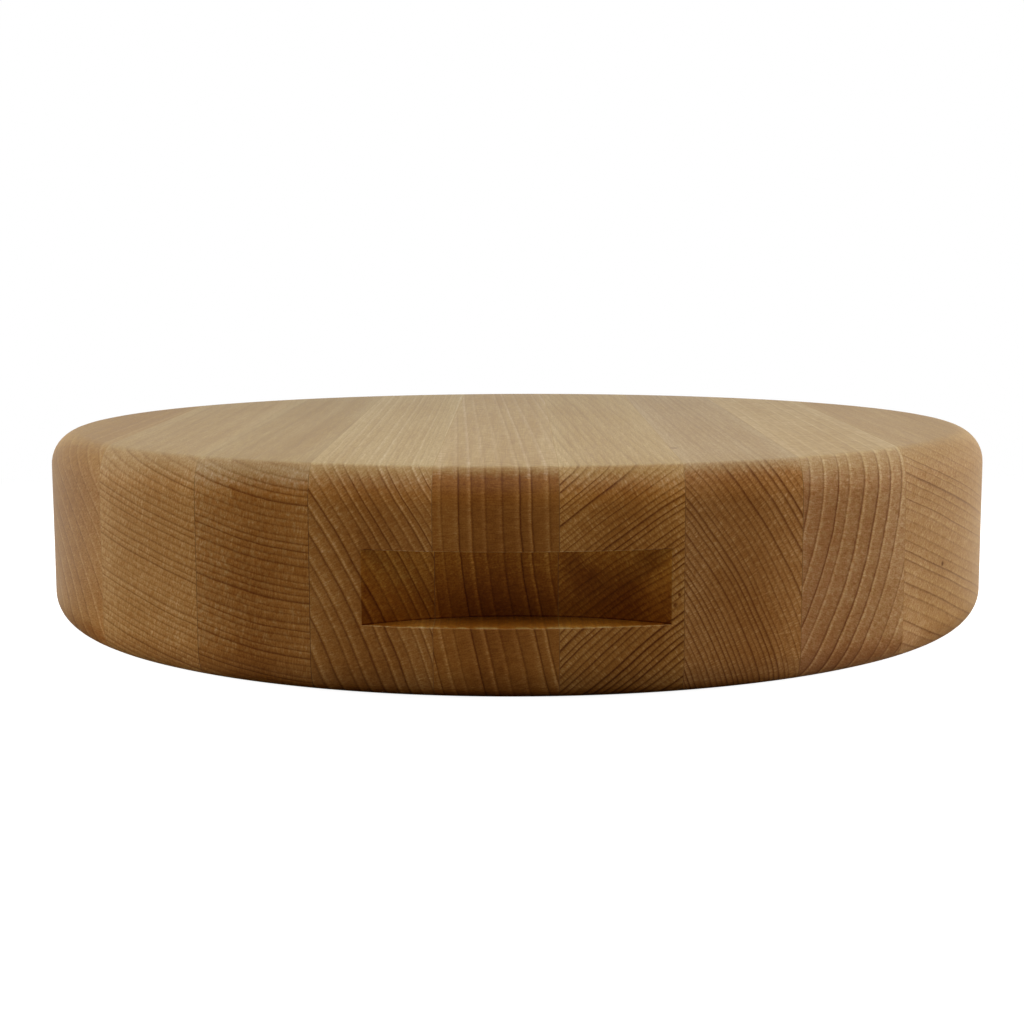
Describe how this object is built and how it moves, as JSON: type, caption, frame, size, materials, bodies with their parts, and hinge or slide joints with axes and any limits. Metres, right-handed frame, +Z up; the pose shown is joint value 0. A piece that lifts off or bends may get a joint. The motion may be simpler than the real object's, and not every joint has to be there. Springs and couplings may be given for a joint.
{
  "type": "chopping block",
  "caption": "Round laminated hardwood chopping block with rounded rims, flat faces and crescent finger grips at the front and back.",
  "frame": {"origin": "centre of the underside, on the surface that the block rests on", "axes": "+Z up through the thickness, X across the staves with +X to the right seen from the front, Y along the staves with the front finger grip facing -Y"},
  "size_m": [0.381, 0.381, 0.0762],
  "materials": {
    "wood_1": "oiled, satin",
    "wood_2": "oiled, satin",
    "wood_3": "oiled, satin",
    "wood_4": "oiled, satin",
    "wood_5": "oiled, satin",
    "wood_6": "oiled, satin",
    "wood_7": "oiled, satin",
    "wood_8": "oiled, satin",
    "wood_9": "oiled, satin",
    "glue": "cured wood adhesive, satin"
  },
  "bodies": {
    "root": {"stave_1": "wood_1", "stave_2": "wood_2", "stave_3": "wood_3", "stave_4": "wood_4", "stave_5": "wood_5", "stave_6": "wood_6", "stave_7": "wood_7", "stave_8": "wood_8", "stave_9": "wood_9", "glue_line_1": "glue", "glue_line_2": "glue", "glue_line_3": "glue", "glue_line_4": "glue", "glue_line_5": "glue", "glue_line_6": "glue", "glue_line_7": "glue", "glue_line_8": "glue"}
  },
  "joints": []
}
